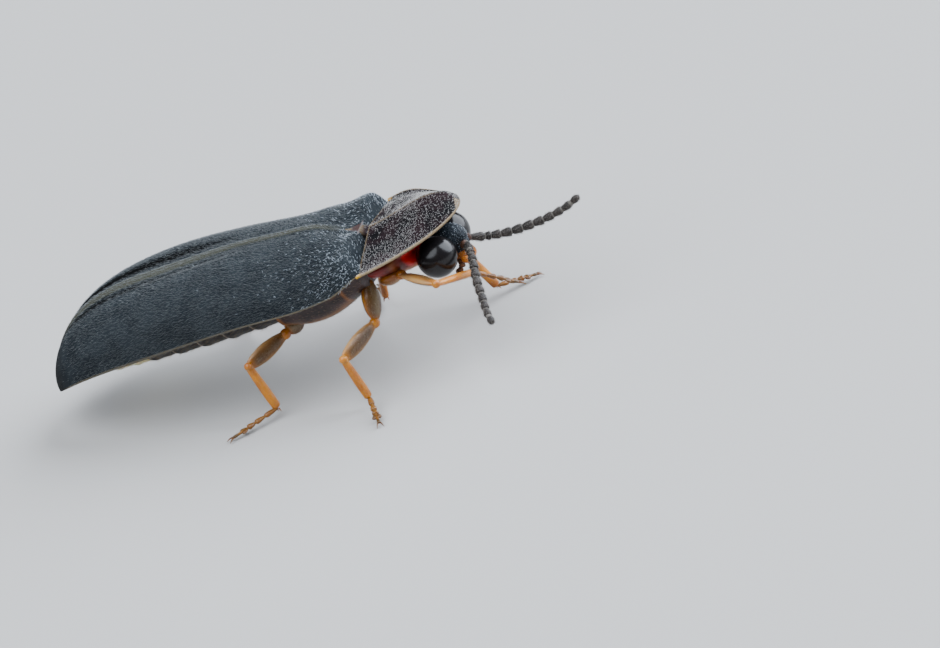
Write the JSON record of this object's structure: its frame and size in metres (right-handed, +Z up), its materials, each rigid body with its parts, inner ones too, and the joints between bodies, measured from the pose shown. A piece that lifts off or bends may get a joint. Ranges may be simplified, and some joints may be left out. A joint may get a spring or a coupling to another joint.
{
  "type": "firefly",
  "caption": "Winged firefly beetle standing with a foreleg raised: shield over large black eyes, long dark wing covers, slender antennae, amber legs.",
  "frame": {"origin": "on the floor, under the middle of the bounding box", "axes": "+X towards the head, +Y to the animal's left, +Z up"},
  "size_m": [0.0174, 0.01, 0.0052],
  "materials": {
    "wing_cover": "blue-black cuticle with fine silvery hair",
    "shield": "granular black cuticle with silvery hair and a pale tan rim",
    "scutellum": "tan cuticle",
    "head": "glossy blue-black cuticle, orange mouthparts",
    "eye": "polished black",
    "antenna": "dark brown with pale joints",
    "prothorax": "translucent red to orange cuticle",
    "thorax": "dark brown cuticle with amber rims",
    "abdomen": "dark brown cuticle with paler hind edges",
    "light_organ": "waxy pale yellow",
    "leg": "translucent amber to brown"
  },
  "bodies": {
    "root": {"pronotum": "shield", "scutellum": "scutellum", "head": "head", "eye_right": "eye", "eye_left": "eye", "antenna_right": "antenna", "antenna_left": "antenna", "prothorax": "prothorax", "thorax": "thorax", "abdomen": "abdomen", "light_organ": "light_organ", "abdomen_tip": "abdomen", "elytron_right": "wing_cover", "elytron_left": "wing_cover", "leg_fore_right": "leg", "leg_fore_left": "leg", "leg_mid_right": "leg", "leg_mid_left": "leg", "leg_hind_right": "leg", "leg_hind_left": "leg"}
  },
  "joints": []
}
